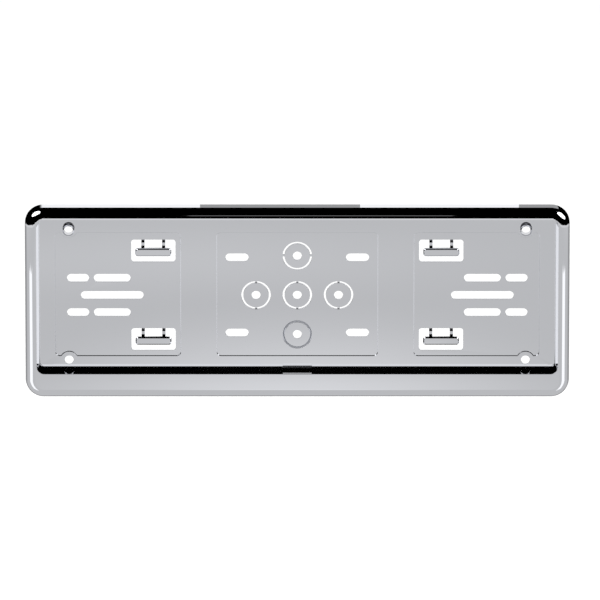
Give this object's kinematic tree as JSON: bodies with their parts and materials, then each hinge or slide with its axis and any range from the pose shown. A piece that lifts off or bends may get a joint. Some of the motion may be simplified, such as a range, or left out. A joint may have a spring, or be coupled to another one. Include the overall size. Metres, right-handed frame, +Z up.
{
  "type": "number plate holder",
  "caption": "Chrome plate holder for a vehicle: round-edged rim with a wide lower band, recessed panels with slots, screw rings and spring tongues, and a pocket for a number plate.",
  "frame": {"origin": "centre of the middle screw hole, on the plane where the panels' backs meet the car", "axes": "+X to the right seen from the front, +Y from the front to the back, +Z up as fitted"},
  "size_m": [0.3838, 0.0143, 0.1396],
  "materials": {
    "chrome": "bright plated plastic"
  },
  "bodies": {
    "root": {"plate_holder": "chrome"}
  },
  "joints": []
}
